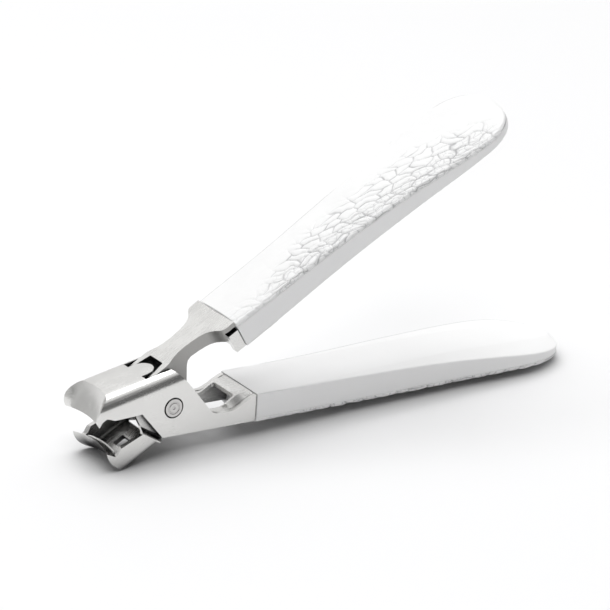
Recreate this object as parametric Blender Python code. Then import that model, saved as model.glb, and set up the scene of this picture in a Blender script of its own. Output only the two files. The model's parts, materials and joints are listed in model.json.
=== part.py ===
"""Plier-type nail clipper: two crossed pressed-steel levers on one pivot, with leather-look grips.

Each lever has its own frame, with the pivot at its origin and +X towards its handle:
  lever A holds the upper jaw and the lower handle,
  lever B holds the lower jaw and the upper handle, and is tilted up by OPEN_ANGLE at rest.
Lengths below are in millimetres and are turned into metres when a mesh is made.
"""
import math

import bmesh
import bpy
from mathutils import Vector

MM = 0.001

# --- driving dimensions -------------------------------------------------------------------------
JAW_HALF_WIDTH = 7.0
SHEET = 1.1
GAP = 0.3
OPEN_ANGLE = math.radians(31.4)
PITCH = math.radians(3.8)

# upper jaw
TOP_SLOPE = 0.215
TOP_HEIGHT = 7.65
FOLD_RADIUS = 3.0
FOLD_INSIDE = 1.1
SIDE_BOTTOM = -6.3
GRIP_FRONT = 20.6

# grips
LOWER_GRIP_END = 100.2
UPPER_GRIP_END = 97.1
GRIP_WALL = 1.0
GRIP_OUTER_WALL = 0.7
FLARE_END = 87.0
TIP_POWER = 2.35
FRAME_SHEET = 0.9
FRAME_END = 62.0
SKIN = 0.9
CROWN = 0.9

# pivot
BARREL_RADIUS = 1.5
PIVOT_HOLE = 1.8
HEAD_RADIUS = 2.0
RECESS_RADIUS = 2.3
RECESS_DEPTH = 0.75

# walls of the lower jaw, between the side plates (distance from the middle plane)
JAW_WALL = (4.55, 5.55)

ROUND_STEPS = 28


# --- mesh tools ---------------------------------------------------------------------------------
def clear_scene():
    for obj in list(bpy.data.objects):
        bpy.data.objects.remove(obj, do_unlink=True)


def smoothstep(value):
    value = min(1.0, max(0.0, value))
    return value * value * (3 - 2 * value)


def table(points, value):
    """Smooth value between the (place, value) pairs of an outline."""
    if value <= points[0][0]:
        return points[0][1]
    for (a, low), (b, high) in zip(points, points[1:]):
        if value <= b:
            return low + (high - low) * (value - a) / (b - a)
    return points[-1][1]


def arc(centre, radius, start, end, steps):
    """Points on an arc in a plane, angles in degrees."""
    points = []
    for step in range(steps + 1):
        angle = math.radians(start + (end - start) * step / steps)
        points.append((centre[0] + radius * math.cos(angle), centre[1] + radius * math.sin(angle)))
    return points


def rounded(corners, radius, steps=4):
    """An outline with every corner rounded; a corner may carry its own radius as a third value."""
    outline = []
    count = len(corners)
    for index, corner in enumerate(corners):
        here = Vector(corner[:2])
        size = corner[2] if len(corner) > 2 else radius
        before = Vector(corners[index - 1][:2]) - here
        after = Vector(corners[(index + 1) % count][:2]) - here
        if size <= 0:
            outline.append(tuple(here))
            continue
        turn = before.angle(after)
        reach = min(size / math.tan(turn / 2), before.length * 0.49, after.length * 0.49)
        start = here + before.normalized() * reach
        end = here + after.normalized() * reach
        for step in range(steps + 1):
            part = step / steps
            point = start * (1 - part) ** 2 + here * 2 * part * (1 - part) + end * part ** 2
            outline.append(tuple(point))
    return outline


def new_object(name, build):
    """A mesh object from a bmesh that build() fills in millimetres."""
    mesh = bpy.data.meshes.new(name)
    work = bmesh.new()
    build(work)
    bmesh.ops.recalc_face_normals(work, faces=work.faces)
    bmesh.ops.scale(work, vec=(MM, MM, MM), verts=work.verts)
    work.to_mesh(mesh)
    work.free()
    obj = bpy.data.objects.new(name, mesh)
    bpy.context.scene.collection.objects.link(obj)
    return obj


def loft(name, rings, wrap=False):
    """A closed solid through rings of equal length; wrap joins the last ring to the first."""
    def build(work):
        verts = [[work.verts.new(point) for point in ring] for ring in rings]
        pairs = list(zip(verts, verts[1:]))
        if wrap:
            pairs.append((verts[-1], verts[0]))
        count = len(rings[0])
        for first, second in pairs:
            for index in range(count):
                after = (index + 1) % count
                work.faces.new((first[index], first[after], second[after], second[index]))
        split = list(work.faces) if len(rings) > 2 else []
        if not wrap:
            split += [work.faces.new(verts[0]), work.faces.new(list(reversed(verts[-1])))]
        bmesh.ops.triangulate(work, faces=split)
    return new_object(name, build)


def side_prism(name, outline, low, high):
    """An outline in the XZ plane, extruded from y = low to y = high."""
    return loft(name, [[(x, y, z) for x, z in outline] for y in (low, high)])


def plan_prism(name, outline, low, high):
    """An outline in the XY plane, extruded from z = low to z = high."""
    return loft(name, [[(x, y, z) for x, y in outline] for z in (low, high)])


def cylinder(name, radius, low, high, centre=(0.0, 0.0)):
    outline = arc(centre, radius, 0, 360, ROUND_STEPS)[:-1]
    return side_prism(name, outline, low, high)


def turned(name, profile):
    """A ring around the pivot axis from a closed (radius, y) profile."""
    rings = []
    for step in range(ROUND_STEPS):
        angle = 2 * math.pi * step / ROUND_STEPS
        rings.append([(r * math.cos(angle), y, r * math.sin(angle)) for r, y in profile])
    return loft(name, rings, wrap=True)


def combine(obj, other, operation):
    """Apply a Boolean with other, and remove other."""
    modifier = obj.modifiers.new(operation.lower(), "BOOLEAN")
    modifier.operation = operation
    modifier.solver = "EXACT"
    modifier.object = other
    depsgraph = bpy.context.evaluated_depsgraph_get()
    mesh = bpy.data.meshes.new_from_object(obj.evaluated_get(depsgraph))
    obj.modifiers.clear()
    obj.data = mesh
    mesh.name = obj.name
    bpy.data.objects.remove(other, do_unlink=True)
    return obj


def cut(obj, *cutters):
    for cutter in cutters:
        combine(obj, cutter, "DIFFERENCE")
    return obj


def join(obj, *others):
    for other in others:
        combine(obj, other, "UNION")
    return obj


def keep_inside(obj, other):
    return combine(obj, other, "INTERSECT")


def mirrored_pair(make):
    """make(side) for the near side (-1) and the far side (+1)."""
    return [make(-1), make(1)]


# --- upper jaw ----------------------------------------------------------------------------------
def top_height(x):
    return TOP_HEIGHT + TOP_SLOPE * x


def channel(name, half, drop, radius, bottom, start, end):
    """A solid with the section of the folded top plate, its top drop below the plate's outer face."""
    rings = []
    for x in (start, end):
        top = top_height(x) - drop
        left = arc((-half + radius, top - radius), radius, 180, 90, 8)
        right = arc((half - radius, top - radius), radius, 90, 0, 8)
        section = [(-half, bottom)] + left + right + [(half, bottom)]
        rings.append([(x, y, z) for y, z in section])
    return loft(name, rings)


def corner_weight(y):
    """0 over the hollow middle of a cutting face, 1 at its corners."""
    return smoothstep((abs(y) - 4.4) / 2.3)


def upper_edge(y):
    """The upper cutting edge (x, z) at y: set back in the middle."""
    return -16.75 - 0.0205 * y * y, -1.3 - 0.006 * y * y


def upper_ridge(y):
    x = -14.6 - 0.024 * y * y
    return x, top_height(x)


def upper_face(y, part, setback):
    """A point of the upper cutting face, from the edge (part 0) to the ridge (part 1)."""
    (edge_x, edge_z), (ridge_x, ridge_z) = upper_edge(y), upper_ridge(y)
    bulge = -0.25 + 1.35 * corner_weight(y)
    x = edge_x + (ridge_x - edge_x) * part - bulge * 4 * part * (1 - part) * (1.25 - 0.5 * part)
    return x + setback, edge_z + (ridge_z - edge_z) * part


def face_rows():
    half = JAW_HALF_WIDTH + 1.0
    count = 22
    return [half * (2 * step / count - 1) for step in range(count + 1)]


def behind_face(name, face, setback, low, high, back):
    """All that lies behind a cutting face, as a solid, from z = low to z = high."""
    rings = []
    parts = [step / 8 for step in range(9)]
    for y in face_rows():
        points = [face(y, part, setback) for part in parts]
        foot = (points[0][0], low)
        head_x = points[-1][0] + (high - points[-1][1]) * 0.3
        outline = [foot] + points + [(head_x, high), (back, high), (back, low)]
        rings.append([(x, y, z) for x, z in outline])
    return loft(name, rings)


def upper_mouth_cutter():
    """The mouth under the upper jaw: bevel behind the cutting edge, lip, notch and slanted edge."""
    rings = []
    for y in face_rows():
        edge_x, edge_z = upper_edge(y)
        outline = [
            (edge_x - 4, -9), (edge_x - 4, edge_z), (edge_x, edge_z), (edge_x + 0.8, edge_z + 1.2),
            (edge_x + 1.75, edge_z + 1.75), (edge_x + 2.6, edge_z + 1.5), (edge_x + 3.7, edge_z + 1.1),
            (-9.0, -0.3), (-7.55, -0.15), (-2.35, SIDE_BOTTOM), (-2.35, -9)]
        rings.append([(x, y, z) for x, z in outline])
    return loft("mouth_cutter", rings)


def scoop_level(x):
    """Height of the side plates' edge behind the window; the frame's sheet curls down to meet it."""
    return -3.1 + 2.65 * smoothstep((x - 14.0) / 6.8)


def housing_rear_cutter():
    """What is cut away above and behind the side plates, down to the scooped edge at the window."""
    outline = [(0.1, 14), (0.1, 7.75), (0.8, 7.45), (1.45, 6.95), (2.1, 6.3), (2.8, 5.55), (3.55, 4.7),
               (8.0, -0.75), (9.1, -2.1), (9.7, -2.65), (10.6, -3.0), (12.0, -3.1)]
    outline += [(x, scoop_level(x)) for x in (13.5, 14.5, 15.5, 16.5, 17.5, 18.5, 19.5, 20.5)]
    return side_prism("rear_cutter", outline + [(26, -0.42), (26, 14)], -9, 9)


def slot_cutter():
    """Two slots for the prongs of lever B, with a round-ended tongue between them."""
    outer, inner, front, tongue_end = 4.5, 2.75, -5.6, -1.5
    tip = arc((tongue_end - inner, 0), inner, 90, -90, 10)
    outline = [(front, outer), (front, inner)] + tip + [(front, -inner), (front, -outer), (8, -outer), (8, outer)]
    return plan_prism("slot_cutter", outline, 3.6, 12)


def pivot_recesses():
    near = cylinder("near_recess", RECESS_RADIUS, -9, -JAW_HALF_WIDTH + RECESS_DEPTH)
    far = cylinder("far_recess", RECESS_RADIUS, JAW_HALF_WIDTH - RECESS_DEPTH, 9)
    return near, far


def make_upper_jaw_housing():
    rear = GRIP_FRONT - GAP
    body = channel("upper_jaw_housing", JAW_HALF_WIDTH, 0, FOLD_RADIUS, SIDE_BOTTOM, -21, rear)
    keep_inside(body, behind_face("front_limit", upper_face, 0, -9, 14, 30))
    hollow = channel("hollow", JAW_HALF_WIDTH - SHEET, SHEET, FOLD_INSIDE, -9, -21, 26)
    keep_inside(hollow, behind_face("hollow_limit", upper_face, 1.35, -10, 14, 30))
    cut(body, hollow, upper_mouth_cutter(), housing_rear_cutter(), slot_cutter())
    cut(body, cylinder("pivot_hole", PIVOT_HOLE, -9, 9), *pivot_recesses())
    return body


# --- lower handle frame -------------------------------------------------------------------------
FRAME_STEP = GRIP_FRONT - GAP


def frame_section(x, grip):
    """Top and underside of the frame's plate: low at the window, level at the grip, sunk inside the grip."""
    sunk = -grip.cavity_low(x) - GAP
    level = -3.0 + 2.55 * smoothstep((x - 12.4) / 5.8)
    top = level if x <= FRAME_STEP else sunk
    doubled = smoothstep((x - 18.4) / 1.2)
    return top, (level - FRAME_SHEET) * (1 - doubled) + (sunk - FRAME_SHEET) * doubled


def make_lower_handle_frame(grip):
    stations = [8.8 + 0.5 * step for step in range(23)] + [20.15, FRAME_STEP, FRAME_STEP + 0.01]
    stations += [22, 30, 40, 50, FRAME_END]
    rings = []
    half, curl = JAW_WALL[1], JAW_WALL[1] - 0.95
    for x in stations:
        top, low = frame_section(x, grip)
        edge = min(top, scoop_level(x)) - 0.05 if x <= FRAME_STEP else top - 0.1
        edge_low = min(low - 0.05, edge - FRAME_SHEET + 0.05)
        section = [(-half, edge_low), (-half, edge), (-curl, top), (curl, top),
                   (half, edge), (half, edge_low), (curl, low), (-curl, low)]
        rings.append([(x, y, z) for y, z in section])
    plate = loft("lower_handle_frame", rings)
    for side in (-1, 1):
        inner, outer = side * JAW_WALL[0], side * (JAW_WALL[1] - 0.05)
        rings = []
        for x in (8.95, 12.7, 14.6, 16.1, 17.6, 18.6, 19.55, 20.24, 20.52, 31, 41, 51, FRAME_END - 0.1):
            top = sum(frame_section(x + 0.05, grip)) / 2
            edge = min(top, scoop_level(x + 0.05) - 0.5) if x < 20.4 else top
            bottom = -5.7 if x < 20.4 else -grip.cavity_high(x) + GAP
            rings.append([(x, inner, bottom), (x, inner, top), (x, outer, edge), (x, outer, bottom)])
        join(plate, loft("frame_wall", rings))
    window = rounded([(9.9, -4.1), (16.6, -4.1), (16.6, 4.1), (9.9, 4.1)], 0.8)
    return cut(plate, plan_prism("window", window, -4.6, 3))


# --- lower jaw ----------------------------------------------------------------------------------
JAW_FLOOR = -4.75


def lower_edge(y):
    return -16.15 - 0.025 * y * y, 1.25 + 0.007 * y * y


def lower_face(y, part, setback):
    """A point of the lower cutting face, from the floor's front (part 0) up to the edge (part 1)."""
    edge_x, edge_z = lower_edge(y)
    foot_x, foot_z = -14.9 - 0.012 * y * y, JAW_FLOOR
    bulge = 0.25 + 0.75 * corner_weight(y)
    x = foot_x + (edge_x - foot_x) * part - bulge * 4 * part * (1 - part)
    return x + setback, foot_z + (edge_z - foot_z) * part


def trough(name, half, floor, radius, top, start, end):
    """A solid with the section of the folded jaw floor."""
    left = arc((-half + radius, floor + radius), radius, 180, 270, 6)
    right = arc((half - radius, floor + radius), radius, 270, 360, 6)
    section = [(-half, top)] + left + right + [(half, top)]
    return loft(name, [[(x, y, z) for y, z in section] for x in (start, end)])


JAW_REAR_LOW = (-6.0, -4.95)
JAW_REAR_TOP = (-8.45, -0.33)


def lower_mouth_cutter():
    """Above the lower jaw: bevel behind its edge, dip at the corner, wall tops and slanted rear edge."""
    rings = []
    slant = (JAW_REAR_TOP[0] - JAW_REAR_LOW[0]) / (JAW_REAR_TOP[1] - JAW_REAR_LOW[1])
    low_x = JAW_REAR_LOW[0] + slant * (-8 - JAW_REAR_LOW[1])
    for y in face_rows():
        edge_x, edge_z = lower_edge(y)
        outline = [
            (edge_x - 4, 9), (edge_x - 4, edge_z), (edge_x, edge_z), (edge_x + 0.8, edge_z - 1.2),
            (edge_x + 1.35, edge_z - 1.95), (edge_x + 2.0, edge_z - 1.9), (edge_x + 2.6, edge_z - 1.5),
            (edge_x + 3.25, 0.42), (-12.3, 0.2), JAW_REAR_TOP, (low_x, -8), (2, -8), (2, 9)]
        rings.append([(x, y, z) for x, z in outline])
    return loft("lower_mouth_cutter", rings)


def joggled_wall(side):
    """The jaw wall's continuation, stepped inwards so that it passes inside the side plates."""
    low, top = Vector(JAW_REAR_LOW), Vector(JAW_REAR_TOP)
    along = (top - low).normalized()
    inward = Vector((along.y, -along.x))
    step_length, outer_wide = 1.15, JAW_HALF_WIDTH - 0.06
    outer_line, inner_line = [], []
    for step in range(-1, 9):
        reach = step_length * step / 8
        shift = (outer_wide - JAW_WALL[1]) * smoothstep(reach / step_length)
        outer_line.append((reach if step >= 0 else -0.9, outer_wide - shift))
        inner_line.append((reach if step >= 0 else -0.9, outer_wide - 1.0 - shift))
    outer_line.append((14.0, JAW_WALL[1]))
    inner_line.append((14.0, JAW_WALL[0]))
    section = outer_line + list(reversed(inner_line))
    rings = []
    for travel in (-7.0, 12.0):
        ring = []
        for reach, y in section:
            point = low + along * travel + inward * reach
            ring.append((point.x, side * y, point.y))
        rings.append(ring)
    wall = loft("joggled_wall", rings)
    outline = [(-7.75, 0.7), (-7.6, 3.3), (-4.0, 4.55)] + arc((0, 0), 5.0, 100, -90, 18)
    outline += [(-3.0, -5.0), (-6.35, -4.72), (-8.9, -0.5)]
    return keep_inside(wall, side_prism("wall_outline", outline, -9, 9))


def make_lower_jaw():
    body = trough("lower_jaw", JAW_HALF_WIDTH, JAW_FLOOR, 1.6, 4, -21, 2)
    keep_inside(body, behind_face("front_limit", lower_face, 0, -9, 9, 20))
    hollow = trough("hollow", JAW_HALF_WIDTH - SHEET, JAW_FLOOR + SHEET, 0.6, 8, -21, 6)
    keep_inside(hollow, behind_face("hollow_limit", lower_face, 1.35, -10, 10, 20))
    floor_window = rounded([(-12.6, -2.1), (-9.9, -2.1), (-9.9, 2.1), (-12.6, 2.1)], 0.3, 3)
    cut(body, hollow, lower_mouth_cutter(), plan_prism("floor_window", floor_window, -7, -3))
    join(body, *mirrored_pair(joggled_wall))
    return cut(body, cylinder("pivot_hole", PIVOT_HOLE, -9, 9))


# --- upper lever --------------------------------------------------------------------------------
NECK_TOP = 7.4
NECK_EDGE = [(-2.2, 4.2), (3.6, 4.2), (4.6, 4.05), (5.6, 3.6), (6.6, 3.2), (8.0, 2.9), (9.8, 2.82),
             (12.0, 2.98), (13.6, 3.3), (14.8, 3.75), (15.7, 4.4), (16.4, 5.3), (17.0, 6.3), (17.5, 6.75)]


def offset_path(path, distance):
    """The path moved towards the middle plane by distance, square to its direction."""
    moved = []
    for index, point in enumerate(path):
        before = Vector(path[max(0, index - 1)])
        after = Vector(path[min(len(path) - 1, index + 1)])
        direction = (after - before).normalized()
        moved.append((point[0] + direction.y * distance, point[1] - direction.x * distance))
    return moved


def neck_flange(side):
    """Side wall of the neck: it follows the waist of the plate and runs down to the pivot as a prong."""
    inner = offset_path(NECK_EDGE, SHEET)
    outline = [(x, side * y) for x, y in NECK_EDGE] + [(x, side * y) for x, y in reversed(inner)]
    wall = plan_prism("neck_flange", outline, -8, NECK_TOP - 0.02)
    side_view = [(-1.4, 7.6), (-1.9, 6.6), (-3.2, 4.6), (-4.6, 2.2)] + arc((0, 0), 5.2, 165, 348, 18)
    side_view += [(6.3, 0.4), (8.3, 3.5), (8.9, 4.15), (9.9, 4.45), (14.5, 4.35), (17.55, 4.2), (17.55, 7.6)]
    return keep_inside(wall, side_prism("flange_outline", side_view, -9, 9))


def make_upper_lever():
    plate_edge = NECK_EDGE[1:] + [(18.2, 7.0), (GRIP_FRONT - GAP, 7.0)]
    outline = [(-1.6, 4.2)] + plate_edge + [(x, -y) for x, y in reversed(plate_edge)] + [(-1.6, -4.2)]
    plate = plan_prism("upper_lever", outline, NECK_TOP - SHEET, NECK_TOP)
    window = rounded([(-4, -3.1), (1.2, -3.1), (4.0, -2.45), (4.0, 2.45), (1.2, 3.1), (-4, 3.1)], 0.35, 3)
    cut(plate, plan_prism("neck_window", window, 5, 9))
    join(plate, *mirrored_pair(neck_flange))
    return cut(plate, cylinder("pivot_hole", PIVOT_HOLE, -9, 9))


# --- upper handle frame -------------------------------------------------------------------------
def make_upper_handle_frame(grip):
    """Web inside the grip, channel walls up to the neck plate, and a collar flush with the grip's sides."""
    front = 18.0
    stations = [front + 1.0 * step for step in range(5)] + [30, 40, 50, FRAME_END]
    half = JAW_WALL[1] - 0.05
    rings = []
    for x in stations:
        low = grip.cavity_low(x) + GAP
        rings.append([(x, -half, low), (x, half, low), (x, half, low + FRAME_SHEET), (x, -half, low + FRAME_SHEET)])
    web = loft("upper_handle_frame", rings)
    under_plate = NECK_TOP - SHEET - GAP
    for side in (-1, 1):
        inner, outer = side * JAW_WALL[0], side * JAW_WALL[1]
        rings = []
        for x in (front + 0.1, 20.2, 20.5, 24.0, 30, 40, 50, FRAME_END - 0.1):
            low = grip.cavity_low(x) + GAP + 0.3
            high = under_plate if x < 20.4 else grip.cavity_high(x) - GAP
            rings.append([(x, inner, low), (x, inner, high), (x, outer, high), (x, outer, low)])
        join(web, loft("frame_wall", rings))
        collar = [(17.9, 0.75), (GRIP_FRONT - GAP, 0.75), (GRIP_FRONT - GAP, 5.2), (17.9, 5.2)]
        near, far = sorted((side * 5.2, side * JAW_HALF_WIDTH))
        join(web, side_prism("collar", collar, near, far))
    return web


# --- grips --------------------------------------------------------------------------------------
GRIP_HALF_WIDTH = [(20, 7.3), (30, 7.4), (40, 7.55), (50, 8.05), (60, 8.75), (70, 9.6), (80, 10.7), (88, 11.35)]


def smooth_table(points, value):
    """table() averaged over a short stretch, so that the outline has no kinks."""
    reach = 4.0
    samples = [table(points, value + reach * (step - 3) / 3) for step in range(7)]
    return sum(samples) / len(samples)


class Grip:
    """Shape of one grip: depth is measured from the lever's own plane, outwards."""

    def __init__(self, prefix, end, inner, thickness, outward):
        self.prefix = prefix
        self.end = end
        self.inner = inner
        self.thickness = thickness
        self.outward = outward

    def half_width(self, x, inset=0.0):
        if x <= FLARE_END:
            return smooth_table(GRIP_HALF_WIDTH, x) - inset
        full = smooth_table(GRIP_HALF_WIDTH, FLARE_END)
        part = min(1.0, (x - FLARE_END) / (self.end - inset - FLARE_END))
        return max(0.35, (full - inset) * (1 - part ** TIP_POWER) ** (1 / TIP_POWER))

    def inner_face(self, x):
        return smooth_table(self.inner, x)

    def depth(self, x):
        return smooth_table(self.thickness, x)

    def stations(self, start, end):
        """Places along the grip, closer together towards its round end."""
        body = [start + (FLARE_END - start) * step / 12 for step in range(12)]
        tip = [FLARE_END + (end - FLARE_END) * math.sin(math.pi / 2 * step / 9) for step in range(10)]
        return body + tip

    def place(self, x, y, depth):
        return x, y, depth * self.outward

    def smooth_body(self, name, start, inset, top, bottom):
        """A solid with the grip's plan outline between two depths, each given as a function of x."""
        rings = []
        for x in self.stations(start, self.end - inset):
            half, low, high = self.half_width(x, inset), top(x), bottom(x)
            round_off = min(0.5, half * 0.4, (high - low) * 0.3)
            section = [(-half + round_off, low), (half - round_off, low), (half, low + round_off),
                       (half, high), (-half, high), (-half, low + round_off)]
            rings.append([self.place(x, y, depth) for y, depth in section])
        return loft(name, rings)

    def seat(self, x):
        """Depth at which the skin's underside lies."""
        return self.inner_face(x) + self.depth(x) - SKIN

    def cavity_low(self, x):
        return self.inner_face(x) + GRIP_WALL

    def cavity_high(self, x):
        return self.seat(x) - GAP - GRIP_OUTER_WALL

    def make_shell(self):
        def outer_high(x):
            return self.seat(x) - GAP

        shell = self.smooth_body(self.prefix + "_grip_shell", GRIP_FRONT, 0.0, self.inner_face, outer_high)
        hollow_start, hollow_end = GRIP_FRONT - 2, 76.0
        rings = []
        for step in range(12):
            x = hollow_start + (hollow_end - hollow_start) * step / 11
            half, low, high = self.half_width(x, GRIP_WALL), self.cavity_low(x), self.cavity_high(x)
            rings.append([self.place(x, y, depth) for y, depth in
                          [(-half, low), (half, low), (half, high), (-half, high)]])
        return cut(shell, loft("hollow", rings))

    def make_skin(self):
        """The outer skin: level underside, crowned outer face and rolled edges."""
        count = 12
        rings = []
        for x in self.stations(GRIP_FRONT, self.end):
            half, seat = self.half_width(x), self.seat(x)
            crown = CROWN * min(1.0, half / 6.0)
            edge = min(0.55, half * 0.3)
            section = [(-half, seat), (-half, seat + SKIN - edge)]
            for step in range(1, count):
                part = 2 * step / count - 1
                y = (half - edge * 0.4) * part
                section.append((y, seat + SKIN + crown * (1 - part * part) - edge * 0.35 * abs(part) ** 8))
            section += [(half, seat + SKIN - edge), (half, seat)]
            rings.append([self.place(x, y, depth) for y, depth in section])
        return loft(self.prefix + "_grip_skin", rings)


def make_grip_core(grip):
    """The insert that locks the steel frame in the grip: it fills the channel, over the frame's plate."""
    half = JAW_WALL[0] - GAP
    rings = []
    for x in (24.0, 33.0, 42.0, 50.0):
        low = grip.cavity_low(x) + GAP + FRAME_SHEET + GAP
        high = grip.cavity_high(x) - GAP
        rings.append([grip.place(x, y, depth) for y, depth in
                      [(-half, low), (half, low), (half, high), (-half, high)]])
    return loft(grip.prefix + "_grip_core", rings)


# --- pivot and spring ---------------------------------------------------------------------------
def make_pivot_barrel():
    face, seat = -JAW_HALF_WIDTH - 0.12, -JAW_HALF_WIDTH + 0.45
    head = cylinder("pivot_barrel", HEAD_RADIUS, face, seat)
    bevel_ring = turned("head_groove", [(1.05, face - 1), (1.05, face + 0.1), (1.35, face + 0.1), (1.35, face - 1)])
    join(head, cylinder("barrel", BARREL_RADIUS, seat - 0.2, 5.2))
    return cut(head, bevel_ring, cylinder("dimple", 0.3, face - 1, face + 0.12), cylinder("bore", 1.1, -3, 7))


def make_pivot_rivet():
    face, seat = JAW_HALF_WIDTH + 0.12, JAW_HALF_WIDTH - 0.45
    head = cylinder("pivot_rivet", HEAD_RADIUS, seat, face)
    groove = turned("head_groove", [(1.05, face - 0.1), (1.05, face + 1), (1.35, face + 1), (1.35, face - 0.1)])
    join(head, cylinder("shank", 0.8, -2.6, seat + 0.2))
    return cut(head, groove, cylinder("dimple", 0.3, face - 0.12, face + 1))


def make_ring(name, inner, outer, low, high):
    return turned(name, [(inner, low), (outer, low), (outer, high), (inner, high)])


COIL_RADIUS = 3.0
WIRE_RADIUS = 0.35
COIL_TURNS = 3
COIL_HALF = 1.42


def wire(name, points, sides=8):
    """A round wire through points."""
    rings = []
    count = len(points)
    for index, point in enumerate(points):
        here = Vector(point)
        before = Vector(points[max(0, index - 1)])
        after = Vector(points[min(count - 1, index + 1)])
        direction = (after - before).normalized()
        across = direction.cross(Vector((0, 1, 0)))
        if across.length < 0.2:
            across = Vector((1, 0, 0))
        across.normalize()
        other = direction.cross(across).normalized()
        ring = []
        for side in range(sides):
            angle = 2 * math.pi * side / sides
            offset = across * math.cos(angle) + other * math.sin(angle)
            ring.append(tuple(here + offset * WIRE_RADIUS))
        rings.append(ring)
    return loft(name, rings)


def make_return_spring():
    """Coils around the sleeve, and the leg that bears on the front of the lower handle frame."""
    points = [(9.6, -COIL_HALF, -2.25), (5.0, -COIL_HALF, -2.6)]
    steps = COIL_TURNS * 18
    start, sweep = -88.0, -360.0 * COIL_TURNS - 148
    for step in range(steps + 1):
        part = step / steps
        angle = math.radians(start + sweep * part)
        points.append((COIL_RADIUS * math.cos(angle), -COIL_HALF + 2 * COIL_HALF * part,
                       COIL_RADIUS * math.sin(angle)))
    return wire("return_spring", points)


def make_spring_arm():
    """The spring's other leg, which bears under the plate of the upper lever."""
    points = [(1.2, COIL_HALF, 3.35), (3.0, COIL_HALF, 3.9), (5.0, 1.1, 4.6), (7.0, 0.5, 5.2), (8.5, 0.1, 5.5),
              (11.0, 0.0, 5.62)]
    return wire("return_spring_arm", points)


# --- materials ----------------------------------------------------------------------------------
def material(name, colour, roughness, metallic):
    made = bpy.data.materials.new(name)
    made.use_nodes = True
    shader = made.node_tree.nodes["Principled BSDF"]
    shader.inputs["Base Color"].default_value = (*colour, 1.0)
    shader.inputs["Roughness"].default_value = roughness
    shader.inputs["Metallic"].default_value = metallic
    return made


def finish_object(obj, look, parent):
    obj.data.materials.clear()
    obj.data.materials.append(look)
    obj.data.shade_smooth()
    obj.data.set_sharp_from_angle(angle=math.radians(32))
    obj.parent = parent


def lever_empty(name, parent, turn):
    empty = bpy.data.objects.new(name, None)
    bpy.context.scene.collection.objects.link(empty)
    empty.parent = parent
    empty.rotation_euler = (0, turn, 0)
    return empty


def stand_on_ground(root_empty):
    """Move the clipper so that the bottom centre of its box is the origin."""
    bpy.context.view_layer.update()
    corners = [obj.matrix_world @ vert.co for obj in bpy.data.objects if obj.type == "MESH"
               for vert in obj.data.vertices]
    low = Vector([min(point[axis] for point in corners) for axis in range(3)])
    high = Vector([max(point[axis] for point in corners) for axis in range(3)])
    root_empty.location -= Vector(((low.x + high.x) / 2, (low.y + high.y) / 2, low.z))


def main():
    clear_scene()
    lever_a = lever_empty("lever_a_pivot", None, PITCH)
    lever_b = lever_empty("lever_b_pivot", lever_a, -OPEN_ANGLE)

    steel = (0.78, 0.77, 0.75)
    white = (0.93, 0.93, 0.93)

    lower = Grip("lower", LOWER_GRIP_END,
                 [(20, 0.3), (40, 0.1), (60, -0.15), (72, -0.05), (82, 0.3), (90, 0.8), (102, 1.7)],
                 [(20, 6.2), (40, 6.1), (52, 5.85), (62, 5.4), (70, 4.85), (80, 3.95), (88, 3.1),
                  (94, 2.45), (102, 1.6)], -1)
    upper = Grip("upper", UPPER_GRIP_END,
                 [(20, 0.6), (32, 0.7), (42, 1.1), (52, 1.5), (62, 1.75), (72, 2.0), (80, 2.1),
                  (88, 2.4), (102, 3.2)],
                 [(20, 6.2), (32, 5.95), (42, 5.5), (52, 5.15), (62, 4.7), (70, 4.2), (80, 3.4),
                  (88, 2.7), (102, 1.6)], 1)

    pieces_a = [
        (make_upper_jaw_housing(), material("satin_steel", steel, 0.3, 1.0)),
        (make_lower_handle_frame(lower), material("frame_steel", (0.74, 0.73, 0.72), 0.32, 1.0)),
        (make_pivot_barrel(), material("barrel_steel", (0.8, 0.79, 0.77), 0.25, 1.0)),
        (make_pivot_rivet(), material("rivet_steel", (0.8, 0.79, 0.77), 0.25, 1.0)),
        (make_ring("pivot_sleeve", 1.8, 2.25, -1.9, 1.9), material("sleeve_steel", (0.6, 0.6, 0.6), 0.4, 1.0)),
        (make_ring("pivot_washer_near", 1.8, 3.6, -2.8, -2.2), material("washer_near", (0.7, 0.7, 0.7), 0.35, 1.0)),
        (make_ring("pivot_washer_far", 1.8, 3.6, 2.2, 2.8), material("washer_far", (0.7, 0.7, 0.7), 0.35, 1.0)),
        (make_return_spring(), material("spring_wire", (0.35, 0.35, 0.36), 0.35, 1.0)),
        (lower.make_shell(), material("lower_shell_plastic", white, 0.4, 0.0)),
        (lower.make_skin(), material("lower_skin_leather", white, 0.55, 0.0)),
        (make_grip_core(lower), material("lower_core_plastic", (0.8, 0.8, 0.8), 0.6, 0.0)),
    ]

    pieces_b = [
        (make_lower_jaw(), material("jaw_steel", steel, 0.3, 1.0)),
        (make_upper_lever(), material("lever_steel", steel, 0.3, 1.0)),
        (make_upper_handle_frame(upper), material("upper_frame_steel", (0.74, 0.73, 0.72), 0.32, 1.0)),
        (make_spring_arm(), material("spring_arm_wire", (0.35, 0.35, 0.36), 0.35, 1.0)),
        (upper.make_shell(), material("upper_shell_plastic", white, 0.4, 0.0)),
        (upper.make_skin(), material("upper_skin_leather", white, 0.55, 0.0)),
        (make_grip_core(upper), material("upper_core_plastic", (0.8, 0.8, 0.8), 0.6, 0.0)),
    ]

    for obj, look in pieces_a:
        finish_object(obj, look, lever_a)
    for obj, look in pieces_b:
        finish_object(obj, look, lever_b)
    stand_on_ground(lever_a)


main()
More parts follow.
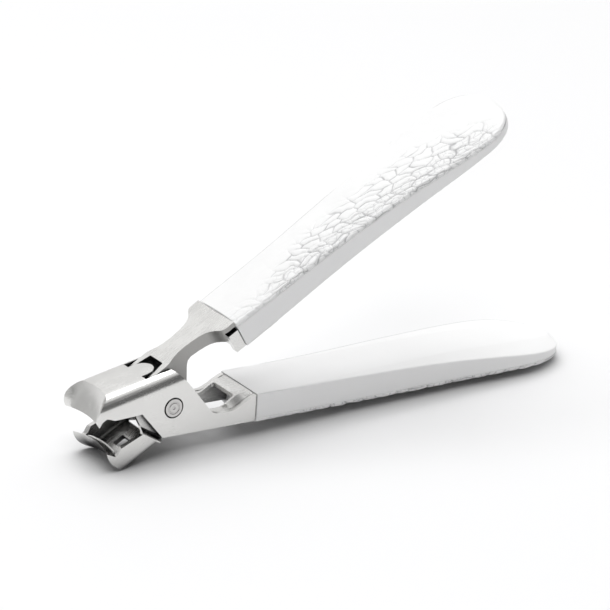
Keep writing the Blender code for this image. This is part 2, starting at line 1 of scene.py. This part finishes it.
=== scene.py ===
"""Looks for the plier-type nail clipper: satin steel jaws, leather-look grips, studio floor and light.

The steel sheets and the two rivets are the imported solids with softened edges, and the spring, its sleeve
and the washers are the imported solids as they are. The grips are modelled here. Each lever has its own
frame: the pivot is its origin and +X runs along its handle. Lengths on the tool are in millimetres, and
lights, floor and clipping distances are in metres.
"""
import json
import math

import bmesh
import bpy
import numpy as np
from mathutils import Matrix, Vector


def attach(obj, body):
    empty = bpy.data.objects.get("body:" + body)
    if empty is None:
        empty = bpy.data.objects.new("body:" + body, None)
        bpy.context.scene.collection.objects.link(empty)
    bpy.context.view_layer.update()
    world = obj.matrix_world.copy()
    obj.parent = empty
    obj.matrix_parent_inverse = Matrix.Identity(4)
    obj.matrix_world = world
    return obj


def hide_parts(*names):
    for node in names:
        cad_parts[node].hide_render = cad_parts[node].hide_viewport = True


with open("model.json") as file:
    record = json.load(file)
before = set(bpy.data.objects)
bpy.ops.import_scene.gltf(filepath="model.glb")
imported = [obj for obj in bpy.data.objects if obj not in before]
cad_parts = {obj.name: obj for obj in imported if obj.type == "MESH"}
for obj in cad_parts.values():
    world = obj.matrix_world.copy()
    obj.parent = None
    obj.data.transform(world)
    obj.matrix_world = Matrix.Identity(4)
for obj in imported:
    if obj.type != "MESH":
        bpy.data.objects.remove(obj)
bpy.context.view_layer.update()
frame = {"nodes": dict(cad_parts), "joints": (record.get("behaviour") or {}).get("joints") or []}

MM = 0.001
PITCH = math.radians(3.8)
OPEN_ANGLE = math.radians(31.4)

PIVOT = Vector(frame["joints"][0]["pos_m"])
LEVER_A = Matrix.Translation(PIVOT) @ Matrix.Rotation(PITCH, 4, "Y")
LEVER_B = LEVER_A @ Matrix.Rotation(-OPEN_ANGLE, 4, "Y")


# --- node helpers -------------------------------------------------------------------------------
class Nodes:
    """Short-hand for building one material's node tree."""

    def __init__(self, name):
        self.material = bpy.data.materials.new(name)
        self.material.use_nodes = True
        self.tree = self.material.node_tree
        self.shader = self.tree.nodes["Principled BSDF"]
        self.place = self.add("ShaderNodeTexCoord").outputs["Object"]

    def add(self, kind, settings=None, **inputs):
        node = self.tree.nodes.new(kind)
        for key, value in (settings or {}).items():
            setattr(node, key, value)
        for key, value in inputs.items():
            self.feed(node.inputs[key.replace("_", " ")], value)
        return node

    def feed(self, socket, value):
        if isinstance(value, bpy.types.NodeSocket):
            self.tree.links.new(value, socket)
        else:
            socket.default_value = value

    def set(self, name, value):
        self.feed(self.shader.inputs[name], value)

    def mapped(self, scale, turn=0.0):
        """Object coordinates in millimetres, turned about +Y and stretched by scale."""
        turned = self.add("ShaderNodeMapping", Vector=self.place, Rotation=(0.0, turn, 0.0))
        return self.add("ShaderNodeMapping", Vector=turned.outputs[0],
                        Scale=tuple(s / MM for s in scale)).outputs[0]

    def noise(self, vector, detail=3.0, rough=0.5):
        made = self.add("ShaderNodeTexNoise", Vector=vector, Scale=1.0, Detail=detail, Roughness=rough)
        return made.outputs["Fac"]

    def crease(self):
        """How much painted shade a point takes: deep in a crease, or on a shaded edge line. The grips keep
        this with their points.
        """
        return self.add("ShaderNodeAttribute", {"attribute_name": "crease"}).outputs["Fac"]

    def remap(self, value, low, high, to_low, to_high):
        made = self.add("ShaderNodeMapRange", Value=value)
        for index, bound in enumerate((low, high, to_low, to_high)):
            made.inputs[index + 1].default_value = bound
        return made.outputs["Result"]

    def maths(self, operation, a, b=0.0):
        made = self.add("ShaderNodeMath", {"operation": operation})
        self.feed(made.inputs[0], a)
        self.feed(made.inputs[1], b)
        return made.outputs[0]

    def blend(self, amount, a, b):
        made = self.add("ShaderNodeMix", {"data_type": "RGBA"})
        self.feed(made.inputs["Factor"], amount)
        self.feed(made.inputs[6], a)
        self.feed(made.inputs[7], b)
        return made.outputs[2]

    def bump(self, height, strength, distance_mm):
        made = self.add("ShaderNodeBump", Height=height, Strength=strength, Distance=distance_mm * MM)
        return made.outputs["Normal"]


# Colours of painted shade: deep steel recesses, dark lines along grip edges, and leather creases.
RECESS_SHADE = (0.05, 0.05, 0.055, 1.0)
EDGE_SHADE = (0.16, 0.16, 0.165, 1.0)
CREASE_SHADE = (0.26, 0.26, 0.27, 1.0)
RECESS_REACH = 6.5
CONTACT_REACH = 12.0


def steel(name, colour, roughness, turn=0.0, grain=1.0):
    """Satin stainless sheet: a fine grain along the tool, faint smudges and a slightly uneven polish.

    Deep recesses are darkened with painted shade, where little light gets in."""
    made = Nodes(name)
    brushed = made.noise(made.mapped((0.25, 9.0, 9.0), turn), 4.0, 0.6)
    smudge = made.noise(made.mapped((0.16, 0.2, 0.2), turn), 3.0, 0.55)
    tone = made.remap(made.maths("ADD", brushed, smudge), 0.7, 1.3, 0.0, 1.0)
    dark = tuple(c * 0.95 for c in colour) + (1.0,)
    light = tuple(min(1.0, c * 1.03) for c in colour) + (1.0,)
    # painted shade: ambient occlusion darkens the steel's colour towards near-black in deep recesses
    open_sky = made.add("ShaderNodeAmbientOcclusion", {"samples": 6}, Distance=RECESS_REACH * MM)
    recess_shade = made.remap(open_sky.outputs["AO"], 0.33, 0.85, 0.97, 0.0)
    made.set("Base Color", made.blend(recess_shade, made.blend(tone, dark, light), RECESS_SHADE))
    made.set("Metallic", 1.0)
    made.set("Roughness", made.remap(made.maths("ADD", brushed, smudge), 0.7, 1.3,
                                     roughness - 0.04, roughness + 0.05))
    made.set("Normal", made.bump(brushed, 0.12 * grain, 0.02))
    return made.material


def white_plastic(name, colour):
    """Moulded plastic: satin, with a very faint orange peel, and a grey line of painted shade where "crease"
    is 1.
    """
    made = Nodes(name)
    peel = made.noise(made.mapped((1.6, 1.6, 1.6)), 2.0)
    cloud = made.noise(made.mapped((0.06, 0.08, 0.08)), 2.0)
    tone = made.remap(cloud, 0.3, 0.7, 0.0, 1.0)
    line = made.crease()
    clean = made.blend(tone, tuple(c * 0.985 for c in colour) + (1.0,), colour + (1.0,))
    # painted shade: the grey edge line is mixed in where the crease attribute is high
    made.set("Base Color", made.blend(line, clean, EDGE_SHADE))
    made.set("Roughness", made.remap(peel, 0.2, 0.8, 0.36, 0.46))
    made.set("Normal", made.bump(peel, 0.05, 0.05))
    return made.material


def embossed_leather(name, colour):
    """White coated leather: fine pores, satin highlights and painted shade greying the creases."""
    made = Nodes(name)
    crease = made.crease()
    cells = made.add("ShaderNodeTexVoronoi", Vector=made.mapped((3.2, 3.2, 3.2)), Scale=1.0)
    cloud = made.noise(made.mapped((0.1, 0.14, 0.14)), 3.0)
    warm = made.blend(made.remap(cloud, 0.3, 0.7, 0.0, 1.0),
                      tuple(c * 0.97 for c in colour) + (1.0,), colour + (1.0,))
    # painted shade: creases are greyed where the crease attribute is high
    made.set("Base Color", made.blend(made.remap(crease, 0.2, 0.95, 0.0, 0.85), warm, CREASE_SHADE))
    made.set("Roughness", made.remap(cloud, 0.3, 0.7, 0.38, 0.48))
    made.set("Normal", made.bump(cells.outputs["Distance"], 0.16, 0.04))
    return made.material


# --- mesh helpers -------------------------------------------------------------------------------
def show(obj, material, body, slot, *nodes):
    """Give a new piece its material and body, and let it stand for CAD nodes; slot is not used."""
    obj.data.materials.clear()
    obj.data.materials.append(material)
    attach(obj, body)
    if nodes:
        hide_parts(*nodes)
    return obj


SHARP_ANGLE = 34.0
HOUSING_SHARP_ANGLE = 24.0
FLAT_ANGLE = 0.6
SOLID_WELD = 0.01
GRIP_WELD = 0.002


def softened(node, name, width_mm, angle):
    """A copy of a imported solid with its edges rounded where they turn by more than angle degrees."""
    mesh = frame["nodes"][node].data.copy()
    mesh.name = name
    work = bmesh.new()
    work.from_mesh(mesh)
    bmesh.ops.remove_doubles(work, verts=work.verts, dist=SOLID_WELD * MM)
    bmesh.ops.dissolve_limit(work, angle_limit=math.radians(FLAT_ANGLE), verts=work.verts, edges=work.edges)
    work.normal_update()
    work.to_mesh(mesh)
    work.free()
    obj = bpy.data.objects.new(name, mesh)
    bpy.context.scene.collection.objects.link(obj)
    if "custom_normal" in mesh.attributes:
        mesh.attributes.remove(mesh.attributes["custom_normal"])
    bevel = obj.modifiers.new("edges", "BEVEL")
    bevel.limit_method = "ANGLE"
    bevel.angle_limit = math.radians(angle)
    bevel.width = width_mm * MM
    bevel.segments = 2
    bevel.use_clamp_overlap = True
    bevel.harden_normals = False
    mesh.shade_smooth()
    mesh.set_sharp_from_angle(angle=math.radians(angle))
    return obj


# --- grips --------------------------------------------------------------------------------------
# Tables hold pairs of a place along the handle and a value there.
GRIP_FRONT = 20.45
FLARE_END = 87.0
TIP_POWER = 2.35
SKIN = 0.9
CROWN = 0.9
SEAM = 0.04
EDGE_SHADE_BEAD = 0.16
LINE_BEAD = 0.1
SKIN_POINTS = 124
HALF_WIDTH = [(20, 7.3), (30, 7.4), (40, 7.55), (50, 8.05), (60, 8.75), (70, 9.6), (80, 10.7),
              (88, 11.35)]
FACET_WIDTH = [(30, 0.0), (46, 1.6), (60, 2.8), (74, 4.4), (90, 6.4), (102, 7.5)]
FACET_DROP = [(30, 0.0), (46, 0.22), (60, 0.4), (74, 0.62), (90, 0.8), (102, 0.8)]


def along(table, places, reach=4.0):
    """A table read at many places, averaged over a short stretch to lose its kinks."""
    x, y = np.array(table, float).T
    steps = np.linspace(-reach, reach, 9)
    return np.mean([np.interp(np.asarray(places, float) + step, x, y) for step in steps], axis=0)


def hashed(cells, salt):
    """A repeatable number from 0 to 1 for each whole-numbered cell."""
    value = np.sin(cells[..., 0] * 127.1 + cells[..., 1] * 311.7 + salt * 74.7) * 43758.5453
    return value - np.floor(value)


def soft_noise(x, y, salt):
    """Smooth value noise from -1 to 1."""
    cell = np.stack([np.floor(x), np.floor(y)], -1)
    fx, fy = x - cell[..., 0], y - cell[..., 1]
    fx, fy = fx * fx * (3 - 2 * fx), fy * fy * (3 - 2 * fy)
    corner = [hashed(cell + np.array(step), salt) for step in ((0, 0), (1, 0), (0, 1), (1, 1))]
    low = corner[0] * (1 - fx) + corner[1] * fx
    high = corner[2] * (1 - fx) + corner[3] * fx
    return 2 * (low * (1 - fy) + high * fy) - 1


def cell_edges(x, y, salt):
    """Distance to the nearest border between scattered cells, and a level for the cell itself."""
    cell = np.stack([np.floor(x), np.floor(y)], -1)
    found = []
    for i in (-1, 0, 1):
        for j in (-1, 0, 1):
            other = cell + np.array((i, j))
            px = other[..., 0] + 0.15 + 0.7 * hashed(other, salt)
            py = other[..., 1] + 0.15 + 0.7 * hashed(other, salt + 1)
            found.append(np.stack([px, py, hashed(other, salt + 2)], -1))
    found = np.stack(found, 0)
    gap = np.hypot(found[..., 0] - x, found[..., 1] - y)
    order = np.argsort(gap, axis=0)
    first = np.take_along_axis(found, order[:1, ..., None], 0)[0]
    second = np.take_along_axis(found, order[1:2, ..., None], 0)[0]
    between = np.hypot(*(np.moveaxis(second - first, -1, 0)[:2]))
    border = (np.take_along_axis(gap, order[1:2], 0)[0] ** 2 - np.take_along_axis(gap, order[:1], 0)[0] ** 2)
    return border / (2 * between + 1e-6), first[..., 2]


def step_up(value, low, high):
    part = np.clip((value - low) / (high - low), 0, 1)
    return part * part * (3 - 2 * part)


def crackle(x, y, near):
    """Height of embossed leather in millimetres, and how deep in a crease each point lies (0 to 1).

    Long plates run along the grip, with pebbles crowding in towards its near edge. near runs from 0 on
    the far edge to 1 on the near edge."""
    wx = x + 1.3 * soft_noise(x / 5, y / 3, 3) + 0.45 * soft_noise(x / 1.6, y / 1.3, 5)
    wy = y + 0.9 * soft_noise(x / 4, y / 3, 9) + 0.3 * soft_noise(x / 1.6, y / 1.3, 7)
    lean = wy + 0.3 * wx
    large, level = cell_edges(wx / 3.9, lean / 2.0, 11)
    fine, fine_level = cell_edges(wx / 1.5, lean / 1.0, 23)
    large_mm, fine_mm = large * 2.6, fine * 1.2
    fray = 0.55 + 0.45 * soft_noise(wx / 2.2, lean / 1.7, 31)
    deep = np.exp(-(large_mm / 0.17) ** 1.4) * (0.55 + 0.45 * fray)
    shallow = np.exp(-(fine_mm / 0.13) ** 1.5) * (0.3 + 0.7 * step_up(near, 0.66, 0.86))
    plates = 0.09 * (level - 0.5) + 0.10 * step_up(large_mm, 0.0, 0.9) - 0.16 * deep
    pebbles = 0.06 * (fine_level - 0.5) * step_up(near, 0.5, 0.85) - 0.08 * shallow
    return plates + pebbles, np.maximum(deep, 0.6 * shallow)


class Grip:
    """One handle cover. Depth is measured from the lever's own plane, away from the other handle."""

    def __init__(self, prefix, body, lever, end, inner, depth, outward):
        self.prefix, self.body, self.lever = prefix, body, lever
        self.end, self.inner, self.depth, self.outward = end, inner, depth, outward

    def half_width(self, x, inset=0.0):
        x = np.asarray(x, float)
        full = along(HALF_WIDTH, np.minimum(x, FLARE_END))
        part = np.clip((x - FLARE_END) / (self.end - inset - FLARE_END), 0, 1)
        return np.maximum((full - inset) * (1 - part ** TIP_POWER) ** (1 / TIP_POWER), 0.02)

    def stations(self, start, step):
        """Places along the grip, closer together where its end rounds off."""
        straight = np.arange(start, FLARE_END, step)
        turn = np.linspace(0, math.pi / 2, int(16 / step))
        return np.concatenate([straight, FLARE_END + (self.end - FLARE_END) * np.sin(turn)])

    def build(self, name, rings, shade):
        """A closed mesh from rings of (x, y, depth) points, one ring at each station.

        shade is kept with the points as the attribute "crease"."""
        count, sides = rings.shape[:2]
        points = rings.reshape(-1, 3).copy()
        points[:, 2] *= self.outward
        faces = []
        for ring in range(count - 1):
            for side in range(sides):
                a, b = ring * sides + side, ring * sides + (side + 1) % sides
                faces.append((a, b, b + sides, a + sides))
        faces.append(tuple(range(sides))[::-1])
        faces.append(tuple(range((count - 1) * sides, count * sides)))
        mesh = bpy.data.meshes.new(name)
        mesh.from_pydata([tuple(p * MM) for p in points], [], faces)
        kept = mesh.attributes.new("crease", "FLOAT", "POINT")
        kept.data.foreach_set("value", shade.reshape(-1).astype(np.float32))
        work = bmesh.new()
        work.from_mesh(mesh)
        bmesh.ops.remove_doubles(work, verts=work.verts, dist=GRIP_WELD * MM)
        bmesh.ops.recalc_face_normals(work, faces=work.faces)
        work.to_mesh(mesh)
        work.free()
        mesh.transform(self.lever)
        mesh.shade_smooth()
        obj = bpy.data.objects.new(name, mesh)
        bpy.context.scene.collection.objects.link(obj)
        return obj

    def skin(self, material):
        """The leather skin: crowned over the outer face and rolled down both sides to the seam."""
        x = self.stations(GRIP_FRONT, 0.2)
        half = self.half_width(x)
        low = along(self.inner, x) + along(self.depth, x) - SKIN
        high = low + SKIN
        crown = CROWN * np.minimum(1.0, half / 6.0)
        roll = np.minimum(0.6, half * 0.4)
        # points crowd towards the near side, where the creases are deepest
        spread = np.linspace(-1, 1, SKIN_POINTS)
        share = spread - 0.22 * (1 - spread * spread)
        rings = np.zeros((len(x), len(share) + 2, 3))
        rings[:, :, 0] = x[:, None]
        # the outer tenth of the points on each side goes round the rolled edge, the rest cross the face
        bend = 0.9
        face = np.clip(share / bend, -1, 1)
        turn = np.clip((np.abs(share) - bend) / (1 - bend), 0, 1) * math.pi / 2
        y = (half - roll)[:, None] * face[None] + np.sign(share)[None] * roll[:, None] * np.sin(turn)[None]
        depth = (high - roll)[:, None] + roll[:, None] * np.cos(turn)[None]
        depth = depth + crown[:, None] * (1 - (y / half[:, None]) ** 2)
        near = 0.5 - 0.5 * y / half[:, None]
        places = np.repeat(x[:, None], len(share), 1)
        # the embossing covers most of the near half, narrows at both ends and fades out at the tip
        reach = 0.78 - 0.36 * step_up(places, 26.0, 48.0) + 0.3 * step_up(places, 74.0, 92.0)
        strength = 0.12 + 0.88 * step_up(near, reach - 0.16, reach + 0.12)
        strength = strength * (0.5 + 0.5 * step_up(places, 24.0, 42.0))
        strength = strength * (1 - 0.8 * step_up(places, 87.0, 95.0))
        strength = strength * np.minimum(1.0, half / 5.0)[:, None]
        height, crease = crackle(places, y + np.sign(y) * roll[:, None] * turn[None], near)
        height, crease = height * strength, crease * strength
        rings[:, 1:-1, 1] = y + height * np.sin(turn)[None] * np.sign(share)[None]
        rings[:, 1:-1, 2] = depth + height * np.cos(turn)[None]
        rings[:, 0, 1], rings[:, -1, 1] = -half, half
        rings[:, 0, 2] = rings[:, -1, 2] = low
        shade = np.zeros(rings.shape[:2])
        # a thin grey line of painted shade follows the rolled far edge, which is pushed out a little under
        # it
        far = 1 - step_up(x, 56.0, 64.0) + step_up(x, 87.0, 90.0)
        edge_line_shade = (share[None] > 0) * step_up(turn, 0.22, 0.45)[None] * far[:, None]
        rings[:, 1:-1, 1] += EDGE_SHADE_BEAD * edge_line_shade * np.minimum(1.0, half / 4.0)[:, None]
        # painted shade: a dark line along the near roll at the grip's end
        tip = (share[None] < 0) * step_up(turn, 1.0, 1.3)[None] * step_up(x, 90.0, 94.0)[:, None]
        edge_line_shade = np.maximum(edge_line_shade, 0.8 * tip)
        shade[:, 1:-1] = np.maximum(crease, edge_line_shade)
        obj = self.build(self.prefix + "_grip_leather", rings, shade)
        show(obj, material, self.body, "grip_skin", self.prefix + "_grip_skin")

    def shell(self, material):
        """The moulded shell: its inner face has a low facet along each side, widening to the rear."""
        x = self.stations(GRIP_FRONT, 0.6)
        half = self.half_width(x)
        low = along(self.inner, x)
        high = low + along(self.depth, x) - SKIN - SEAM
        width = np.minimum(along(FACET_WIDTH, x), half * 0.55)
        drop = along(FACET_DROP, x) * np.minimum(1, half / 6)
        edge = np.minimum(0.4, half * 0.3)
        # one side, from the rounded edge over the facet to the flat middle
        section = []
        for turn in np.linspace(0, math.pi / 2, 6):
            section.append((half - edge * (1 - math.cos(turn)), low + edge * (1 - math.sin(turn))))
        for share in (0.15, 0.4, 0.7, 0.88):
            section.append((half - edge - (width - edge * 0.5) * share, low - drop * share))
        for share, level in ((0.97, 0.955), (1.08, 0.995), (1.3, 1.0)):
            inward = np.maximum(half - edge - (width - edge * 0.5) * share, half * 0.08)
            section.append((inward, low - drop * level))
        ring = section + [(0 * half, low - drop)]
        ring += [(-y, depth) for y, depth in reversed(section)]
        ring = [(half, high)] + ring + [(-half, high)]
        rings = np.zeros((len(x), len(ring), 3))
        rings[:, :, 0] = x[:, None]
        for index, (y, depth) in enumerate(ring):
            rings[:, index, 1], rings[:, index, 2] = y, depth
        shade = np.zeros(rings.shape[:2])
        # the far edge of the inner face carries the same grey line of painted shade
        shade[:, 4:6] = 1.0
        rings[:, 1:6, 1] += LINE_BEAD
        obj = self.build(self.prefix + "_grip_cover", rings, shade)
        obj.data.set_sharp_from_angle(angle=math.radians(50))
        show(obj, material, self.body, "grip_plastic", self.prefix + "_grip_shell",
             self.prefix + "_grip_core")


# --- pieces -------------------------------------------------------------------------------------
jaw_steel = steel("jaw_steel", (0.76, 0.755, 0.74), 0.24)
lever_steel = steel("lever_steel", (0.74, 0.735, 0.72), 0.27, OPEN_ANGLE - PITCH)
frame_steel = steel("frame_steel", (0.74, 0.735, 0.72), 0.27)
lower_jaw_steel = steel("lower_jaw_steel", (0.76, 0.755, 0.74), 0.25, OPEN_ANGLE - PITCH)
pivot_steel = steel("pivot_steel", (0.6, 0.59, 0.58), 0.2, 0.0, 0.5)
# painted shade: a darker, rougher copy of the lever steel for the lever's side faces
shaded_flange_steel = steel("shaded_flange_steel", (0.38, 0.375, 0.365), 0.36, OPEN_ANGLE - PITCH + math.pi / 2, 3.0)
hidden_steel = steel("hidden_steel", (0.5, 0.5, 0.5), 0.35)
wire_steel = steel("wire_steel", (0.5, 0.5, 0.5), 0.3)
plastic = white_plastic("grip_plastic", (0.94, 0.94, 0.94))
leather = embossed_leather("grip_leather", (0.89, 0.89, 0.89))

FRAME_SIDE = 5.52
FRAME_SPREAD = 0.2
STEEL_PIECES = [
    ("upper_jaw_housing", jaw_steel, "root", "jaw_steel", 0.16),
    ("lower_handle_frame", frame_steel, "root", "lever_steel", 0.12),
    ("pivot_barrel", pivot_steel, "root", "pivot_steel", 0.08),
    ("pivot_rivet", pivot_steel, "root", "pivot_steel", 0.08),
    ("lower_jaw", lower_jaw_steel, "lever", "jaw_steel", 0.14),
    ("upper_lever", lever_steel, "lever", "lever_steel", 0.14),
    ("upper_handle_frame", frame_steel, "lever", "lever_steel", 0.12),
]
for node, material, body, slot, width in STEEL_PIECES:
    angle = HOUSING_SHARP_ANGLE if node == "upper_jaw_housing" else SHARP_ANGLE
    sheet = softened(node, node + "_sheet", width, angle)
    if node == "lower_handle_frame":
        # the frame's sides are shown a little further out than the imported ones
        for vert in sheet.data.vertices:
            if abs(vert.co.y) > FRAME_SIDE * MM:
                vert.co.y += math.copysign(FRAME_SPREAD * MM, vert.co.y)
    show(sheet, material, body, slot, node)
    if node == "upper_lever":
        # the lever's side faces take a rougher copy of its steel, darker as painted shade on the neck's cut
        # and folded sides
        sheet.data.materials.append(shaded_flange_steel)
        for face in sheet.data.polygons:
            face.material_index = 1 if abs(face.normal.y) > 0.5 else 0

for node, material in (("pivot_sleeve", hidden_steel), ("pivot_washer_near", hidden_steel),
                       ("pivot_washer_far", hidden_steel), ("return_spring", wire_steel),
                       ("return_spring_arm", wire_steel)):
    kept = frame["nodes"][node].data
    kept.materials.clear()
    kept.materials.append(material)


LOWER_INNER = [(20, 0.3), (40, 0.1), (60, -0.15), (72, -0.05), (82, 0.3), (90, 0.8), (102, 1.7)]
LOWER_DEPTH = [(20, 6.2), (40, 6.1), (52, 5.85), (62, 5.4), (70, 4.85), (80, 3.95), (88, 3.1),
               (94, 2.45), (102, 1.6)]
UPPER_INNER = [(20, 0.6), (32, 0.7), (42, 1.1), (52, 1.5), (62, 1.75), (72, 2.0), (80, 2.1),
               (88, 2.4), (102, 3.2)]
UPPER_DEPTH = [(20, 6.2), (32, 5.95), (42, 5.5), (52, 5.15), (62, 4.7), (70, 4.2), (80, 3.4),
               (88, 2.7), (102, 1.6)]
GRIPS = [Grip("lower", "root", LEVER_A, 100.2, LOWER_INNER, LOWER_DEPTH, -1),
         Grip("upper", "lever", LEVER_B, 97.1, UPPER_INNER, UPPER_DEPTH, 1)]
for grip in GRIPS:
    grip.skin(leather)
    grip.shell(plastic)


# --- floor, light and camera --------------------------------------------------------------------
FLOOR_HALF = 6.0
WORLD_FRONT = 0.15
WORLD_BACK = 0.84
WORLD_LEFT = 0.65
WORLD_CORNER = 0.6
KEY_POWER = 7.4
FILL_POWER = 2.2
CAMERA_AZIMUTH = math.radians(32.83564)
CAMERA_ELEVATION = math.radians(22.87763)
CAMERA_TILT = math.radians(4.14)
CAMERA_RIGHT = 30.897
CAMERA_UP = 19.008
CAMERA_DISTANCE = 906.93
CAMERA_LENS = 257.412


def make_floor():
    """A pale sheet of paper with a painted shadow, darker where the tool nearly touches it."""
    mesh = bpy.data.meshes.new("floor")
    corners = [(x * FLOOR_HALF, y * FLOOR_HALF, 0) for x, y in ((-1, -1), (1, -1), (1, 1), (-1, 1))]
    mesh.from_pydata(corners, [], [(0, 1, 2, 3)])
    floor = bpy.data.objects.new("floor", mesh)
    bpy.context.scene.collection.objects.link(floor)
    made = Nodes("floor_paper")
    # painted shadow: ambient occlusion darkens the paper's colour close under the tool
    open_sky = made.add("ShaderNodeAmbientOcclusion", {"samples": 8}, Distance=CONTACT_REACH * MM)
    contact_shadow = made.remap(open_sky.outputs["AO"], 0.35, 0.9, 0.4, 0.0)
    made.set("Base Color", made.blend(contact_shadow, (0.88, 0.88, 0.885, 1.0), (0.2, 0.2, 0.2, 1.0)))
    made.set("Roughness", 0.7)
    mesh.materials.append(made.material)


def make_world():
    """A white room: bright overhead and behind, dimmer low down in front and to the left.

    A patch at the far left stays bright, whatever its height."""
    world = bpy.data.worlds.new("studio")
    world.use_nodes = True
    bpy.context.scene.world = world
    tree = world.node_tree
    background = tree.nodes["Background"]
    coordinates = tree.nodes.new("ShaderNodeTexCoord")
    split = tree.nodes.new("ShaderNodeSeparateXYZ")
    tree.links.new(coordinates.outputs["Generated"], split.inputs[0])

    def ramp(source, low, high, to_low, to_high):
        made = tree.nodes.new("ShaderNodeMapRange")
        made.interpolation_type = "SMOOTHSTEP"
        tree.links.new(source, made.inputs[0])
        for index, bound in enumerate((low, high, to_low, to_high)):
            made.inputs[index + 1].default_value = bound
        return made.outputs[0]

    raised = tree.nodes.new("ShaderNodeMath")
    raised.operation = "MULTIPLY_ADD"
    tree.links.new(split.outputs["Z"], raised.inputs[0])
    raised.inputs[1].default_value = 0.9
    tree.links.new(split.outputs["Y"], raised.inputs[2])
    behind = ramp(raised.outputs[0], 0.05, 0.4, WORLD_FRONT, WORLD_BACK)
    side = ramp(split.outputs["X"], -0.6, 0.0, WORLD_LEFT, 1.0)
    lit = tree.nodes.new("ShaderNodeMath")
    lit.operation = "MULTIPLY"
    tree.links.new(behind, lit.inputs[0])
    tree.links.new(side, lit.inputs[1])
    corner = ramp(split.outputs["X"], -0.7, -0.95, 0.0, WORLD_CORNER)
    brighter = tree.nodes.new("ShaderNodeMath")
    brighter.operation = "MAXIMUM"
    tree.links.new(lit.outputs[0], brighter.inputs[0])
    tree.links.new(corner, brighter.inputs[1])
    tree.links.new(brighter.outputs[0], background.inputs["Strength"])
    background.inputs["Color"].default_value = (1.0, 1.0, 1.0, 1.0)


def area_light(name, place, size, power, mirrored):
    """A square soft lamp that points at the origin. mirrored says whether glossy surfaces show it."""
    data = bpy.data.lights.new(name, "AREA")
    data.shape = "SQUARE"
    data.size = size
    data.energy = power
    lamp = bpy.data.objects.new(name, data)
    lamp.location = place
    lamp.rotation_euler = (-Vector(place)).to_track_quat("-Z", "Y").to_euler()
    lamp.visible_glossy = mirrored
    bpy.context.scene.collection.objects.link(lamp)


def make_camera():
    """The camera is set up from the pivot: its direction, its distance and where the pivot falls."""
    right = Vector((math.cos(CAMERA_AZIMUTH), -math.sin(CAMERA_AZIMUTH), 0))
    forward = math.cos(CAMERA_ELEVATION)
    ahead = Vector((math.sin(CAMERA_AZIMUTH) * forward, math.cos(CAMERA_AZIMUTH) * forward,
                    -math.sin(CAMERA_ELEVATION)))
    up = right.cross(ahead)
    place = (right * CAMERA_RIGHT + up * CAMERA_UP - ahead * CAMERA_DISTANCE) * MM
    turn = Matrix((right, up, -ahead)).transposed().to_4x4()
    level = Matrix.Rotation(PITCH - CAMERA_TILT, 4, "Y")
    data = bpy.data.cameras.new("camera")
    data.sensor_width = 36.0
    data.lens = CAMERA_LENS
    data.clip_start = 0.05
    data.clip_end = 50.0
    camera = bpy.data.objects.new("camera", data)
    camera.matrix_world = Matrix.Translation(PIVOT) @ level @ Matrix.Translation(place) @ turn
    bpy.context.scene.collection.objects.link(camera)
    bpy.context.scene.camera = camera


make_floor()
make_world()
area_light("key", (0.0, 0.36, 1.15), 1.0, KEY_POWER, True)
area_light("fill", (-0.2, -0.5, 1.0), 0.5, FILL_POWER, False)
make_camera()
bpy.context.scene.view_settings.view_transform = "Standard"
